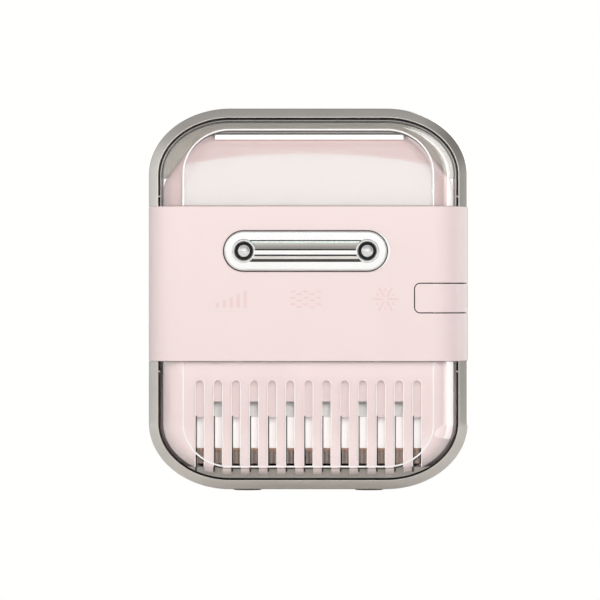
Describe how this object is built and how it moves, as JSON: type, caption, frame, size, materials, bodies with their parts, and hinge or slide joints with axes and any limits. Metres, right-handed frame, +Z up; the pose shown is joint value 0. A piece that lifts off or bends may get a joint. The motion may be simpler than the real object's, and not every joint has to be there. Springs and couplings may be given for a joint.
{
  "type": "ice cream maker",
  "caption": "Counter-top ice cream maker with its own chiller: hinged clear hood over a lift-off bowl carrier, geared churning paddle, push-button console and slotted cooling front",
  "frame": {"origin": "middle of the footprint, on the surface that the feet stand on", "axes": "+Z up, +X to the right seen from the front, the console faces -Y"},
  "size_m": [0.25, 0.284, 0.3],
  "materials": {
    "clear_cover": "clear polycarbonate, polished",
    "pink_shell": "gloss moulded plastic",
    "chrome_trim": "polished chrome plating",
    "dark_seal": "matt elastomer",
    "grey_bezel": "satin moulded plastic",
    "white_plastic": "satin moulded plastic",
    "lamp_white": "opal diffuser",
    "steel": "brushed",
    "bowl_metal": "anodised",
    "plated_steel": "zinc plated",
    "fin_metal": "plain",
    "copper_pipe": "drawn copper tube",
    "bronze_bush": "sintered bronze",
    "gear_plastic": "acetal",
    "black_plastic": "moulded",
    "black_paint": "black enamel",
    "rubber_black": "moulded",
    "gasket_silicone": "silicone",
    "foam": "rigid foam",
    "board_green": "laminate with parts"
  },
  "bodies": {
    "root": {"band": "pink_shell", "console_plate": "chrome_trim", "console_bar": "chrome_trim", "circuit_boards": "board_green", "switches": "black_plastic", "lower_housing": "pink_shell", "front_frame": "black_plastic", "base_trim": "chrome_trim", "base_seal": "dark_seal", "base_pins": "chrome_trim", "lower_cover": "clear_cover", "lower_fascia": "pink_shell", "slot_backing": "pink_shell", "shroud_panel": "white_plastic", "front_sill": "chrome_trim", "chassis_plate": "plated_steel", "top_frame": "plated_steel", "frame_posts": "plated_steel", "rear_cover": "pink_shell", "screws": "steel", "feet": "gasket_silicone", "wall_spacers": "gasket_silicone", "power_inlet": "black_plastic", "gear_axles": "steel", "gearbox_base": "black_plastic", "gearbox_cover": "black_plastic", "shaft_bush": "bronze_bush", "shaft_seal": "rubber_black", "motor_case": "plated_steel", "evaporator_can": "bowl_metal", "evaporator_coil": "copper_pipe", "insulation": "foam", "refrigerant_pipes": "copper_pipe", "compressor": "black_paint", "compressor_grommets": "rubber_black", "condenser": "fin_metal", "fan_frame": "black_plastic"},
    "carrier": {"bowl_carrier": "pink_shell", "lamp_diffuser": "lamp_white", "hinge_brackets": "steel", "hinge_pins": "steel", "bowl": "bowl_metal", "bowl_gasket": "gasket_silicone"},
    "hood": {"hood": "clear_cover", "hood_trim": "chrome_trim", "hood_seal": "dark_seal", "hood_bezel": "grey_bezel", "hood_pins": "chrome_trim"},
    "paddle": {"paddle": "white_plastic"},
    "output": {"output_shaft": "steel", "output_gear": "gear_plastic"},
    "gear_2": {"gear_2": "gear_plastic"},
    "gear_1": {"gear_1": "gear_plastic"},
    "motor_rotor": {"motor_armature": "plated_steel", "motor_shaft": "steel", "motor_pinion": "bronze_bush"},
    "fan_rotor": {"fan_rotor": "black_plastic"},
    "button_left": {"button_left": "chrome_trim"},
    "button_right": {"button_right": "chrome_trim"},
    "side_key": {"side_key": "pink_shell"}
  },
  "joints": [
    {"name": "carrier_lift", "type": "slide", "parent": "root", "child": "carrier", "axis": [0, 0, 1], "range_m": [0, 0.13]},
    {"name": "hood_hinge", "type": "hinge", "parent": "carrier", "child": "hood", "pos_m": [0, 0.1343, 0.232], "axis": [-1, 0, 0], "range_deg": [0, 95]},
    {"name": "output_spin", "type": "hinge", "parent": "root", "child": "output", "pos_m": [0, -0.025, 0.1], "axis": [0, 0, 1], "continuous": true},
    {"name": "paddle_spin", "type": "hinge", "parent": "carrier", "child": "paddle", "pos_m": [0, -0.025, 0.2], "axis": [0, 0, 1], "continuous": true},
    {"name": "gear_2_spin", "type": "hinge", "parent": "root", "child": "gear_2", "pos_m": [0.0272, -0.025, 0.1], "axis": [0, 0, 1], "continuous": true},
    {"name": "gear_1_spin", "type": "hinge", "parent": "root", "child": "gear_1", "pos_m": [0.0272, 0.0022, 0.1], "axis": [0, 0, 1], "continuous": true},
    {"name": "motor_spin", "type": "hinge", "parent": "root", "child": "motor_rotor", "pos_m": [0, 0.0022, 0.1], "axis": [0, 0, 1], "continuous": true},
    {"name": "fan_spin", "type": "hinge", "parent": "root", "child": "fan_rotor", "pos_m": [0, -0.09, 0.0507], "axis": [0, 1, 0], "continuous": true},
    {"name": "button_left_press", "type": "slide", "parent": "root", "child": "button_left", "axis": [0, 1, 0], "range_m": [0, 0.0015], "stiffness_N_per_m": 800, "springref_m": -0.0005},
    {"name": "button_right_press", "type": "slide", "parent": "root", "child": "button_right", "axis": [0, 1, 0], "range_m": [0, 0.0015], "stiffness_N_per_m": 800, "springref_m": -0.0005},
    {"name": "side_key_press", "type": "slide", "parent": "root", "child": "side_key", "axis": [0, 1, 0], "range_m": [0, 0.002], "stiffness_N_per_m": 900, "springref_m": -0.0005}
  ],
  "couplings": [
    {"joint": "paddle_spin", "follows": "output_spin", "ratio": 1},
    {"joint": "gear_2_spin", "follows": "output_spin", "ratio": -3},
    {"joint": "gear_1_spin", "follows": "output_spin", "ratio": 9},
    {"joint": "motor_spin", "follows": "output_spin", "ratio": -27}
  ]
}
